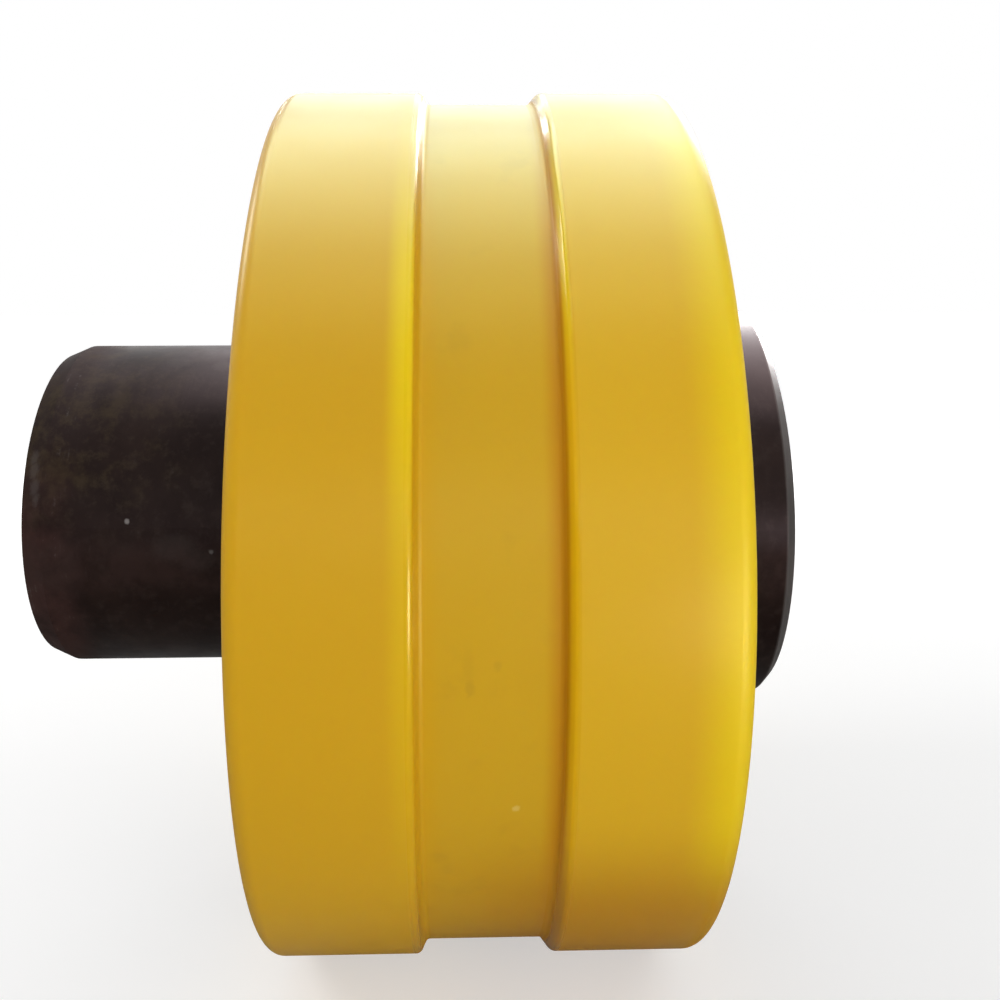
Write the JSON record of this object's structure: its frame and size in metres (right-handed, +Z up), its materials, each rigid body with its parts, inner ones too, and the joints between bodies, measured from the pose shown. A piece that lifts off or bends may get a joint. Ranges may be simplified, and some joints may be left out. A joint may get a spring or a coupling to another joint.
{
  "type": "friction wheel",
  "caption": "Wide grooved polyurethane friction wheel on a welded steel centre, with a stepped, keyed through-bore hub, for driving loads by contact.",
  "frame": {"origin": "on the wheel's axis, midway along the width of the tyre", "axes": "+Y along the shaft bore from the long barrel towards the short boss, +Z up through the keyway"},
  "size_m": [0.3, 0.251, 0.3],
  "materials": {
    "polyurethane": "satin",
    "steel": "satin",
    "hub_steel": "satin",
    "weld_steel": "matte"
  },
  "bodies": {
    "root": {"polyurethane_tyre": "polyurethane", "rim": "steel", "web_plate_left": "steel", "web_plate_right": "steel", "hub": "hub_steel", "hub_weld_left": "weld_steel", "hub_weld_right": "weld_steel", "rim_weld_left": "weld_steel", "rim_weld_right": "weld_steel"}
  },
  "joints": []
}
